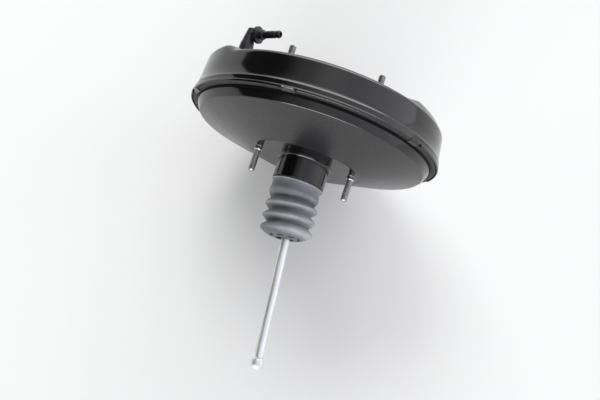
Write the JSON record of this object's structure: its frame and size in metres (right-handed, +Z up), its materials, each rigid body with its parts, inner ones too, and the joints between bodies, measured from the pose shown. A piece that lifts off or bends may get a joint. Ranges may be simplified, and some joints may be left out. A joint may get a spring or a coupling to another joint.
{
  "type": "brake booster",
  "caption": "Round vacuum brake booster in a crimped drum, with two through studs, check valve elbow, bellows boot and ball-ended input rod.",
  "frame": {"origin": "centre of the rear mounting face, on the booster axis", "axes": "+Y along the booster axis towards the master cylinder, -Y towards the pedal, X through the two tie bolts, +Z up"},
  "size_m": [0.29, 0.3614, 0.29],
  "materials": {
    "black_paint": "satin black electrophoretic paint",
    "zinc_steel": "zinc plated",
    "stud_steel": "dull zinc plated",
    "boot_rubber": "mid grey, matt",
    "black_rubber": "matt",
    "black_plastic": "satin",
    "hub_plastic": "matt dark brown thermoset",
    "white_plastic": "satin",
    "spring_steel": "phosphated",
    "yellow_zinc": "yellow passivated",
    "foam": "open foam"
  },
  "bodies": {
    "housing": {"front_shell": "black_paint", "rear_shell": "black_paint", "tie_bolt_left": "stud_steel", "tie_bolt_right": "stud_steel", "tie_bolt_seals": "black_rubber", "reinforcing_plate": "yellow_zinc", "neck_bearing": "white_plastic", "neck_seal": "black_rubber", "dust_boot": "boot_rubber", "check_valve_body": "black_plastic", "check_valve_grommet": "black_rubber", "check_valve_spring": "zinc_steel"},
    "check_disc": {"check_valve_disc": "black_rubber"},
    "power_piston": {"diaphragm": "black_rubber", "diaphragm_plate": "yellow_zinc", "tie_bolt_sleeve_left": "black_rubber", "tie_bolt_sleeve_right": "black_rubber", "valve_body": "hub_plastic", "retaining_key": "zinc_steel", "reaction_disc": "black_rubber", "output_rod": "yellow_zinc", "output_rod_retainer": "zinc_steel", "return_spring": "spring_steel", "air_filter": "foam", "poppet_valve": "black_rubber", "poppet_retainer": "zinc_steel", "poppet_spring": "zinc_steel"},
    "plunger": {"valve_plunger": "zinc_steel"},
    "input_rod": {"input_rod": "zinc_steel", "rod_spring_seat": "zinc_steel", "rod_return_spring": "zinc_steel"}
  },
  "joints": [
    {"name": "piston_stroke", "type": "slide", "parent": "housing", "child": "power_piston", "axis": [0, 1, 0], "range_m": [0, 0.034], "stiffness_N_per_m": 1500, "springref_m": -0.02, "deforming": ["diaphragm", "return_spring", "tie_bolt_sleeve_left", "tie_bolt_sleeve_right", "dust_boot"]},
    {"name": "valve_travel", "type": "slide", "parent": "power_piston", "child": "plunger", "axis": [0, 1, 0], "range_m": [0, 0.002], "stiffness_N_per_m": 2000, "springref_m": -0.004, "deforming": ["poppet_valve", "poppet_spring", "rod_return_spring"]},
    {"name": "rod_swivel", "type": "hinge", "parent": "plunger", "child": "input_rod", "pos_m": [0, -0.018, 0], "axis": [0, 0, 1], "range_deg": [-12.4, 2], "deforming": ["rod_return_spring", "dust_boot"]},
    {"name": "check_valve_lift", "type": "slide", "parent": "housing", "child": "check_disc", "axis": [0, 1, 0], "range_m": [0, 0.0015], "stiffness_N_per_m": 40, "springref_m": -0.003, "deforming": ["check_valve_spring"]}
  ]
}
